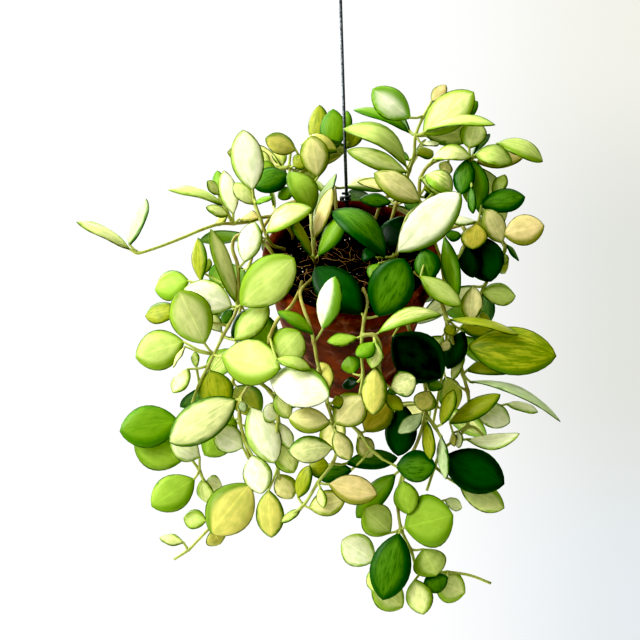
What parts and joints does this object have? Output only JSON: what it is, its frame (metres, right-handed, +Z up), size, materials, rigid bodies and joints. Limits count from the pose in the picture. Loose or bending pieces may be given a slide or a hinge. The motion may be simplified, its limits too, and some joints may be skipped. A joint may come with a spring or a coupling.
{
  "type": "potted hoya plant",
  "caption": "Trailing wax plant with small cream and lime variegated leaves, in a tilted clay pot that hangs from a straight wire with a hook.",
  "frame": {"origin": "the hook's bearing point: the inside of its top, where it rests on what holds it", "axes": "+Z up along the hanging wire, -Y the side shown in the picture, to which the pot leans, +X right in that view"},
  "size_m": [0.2947, 0.1972, 0.4129],
  "materials": {
    "clay": "unglazed fired clay, matt",
    "mix": "damp bark and peat, matt",
    "wire": "galvanised, dull",
    "leaf": "waxy leaf, cream to lime with green edges"
  },
  "bodies": {
    "root": {"pot": "clay", "potting_mix": "mix", "hook": "wire", "wire_hanger": "wire", "hanger_clip": "wire", "vine_left_high": "leaf", "vine_left_trail": "leaf", "vine_left_upright": "leaf", "vine_front_left": "leaf", "vine_front_mid": "leaf", "vine_front_right": "leaf", "vine_centre": "leaf", "vine_mid_right": "leaf", "vine_lower_right": "leaf", "vine_right_trail": "leaf", "vine_right": "leaf", "vine_high_left": "leaf", "vine_high_right": "leaf", "vine_right_high": "leaf", "vine_back_left": "leaf", "vine_back_mid": "leaf", "vine_back_right": "leaf"}
  },
  "joints": []
}
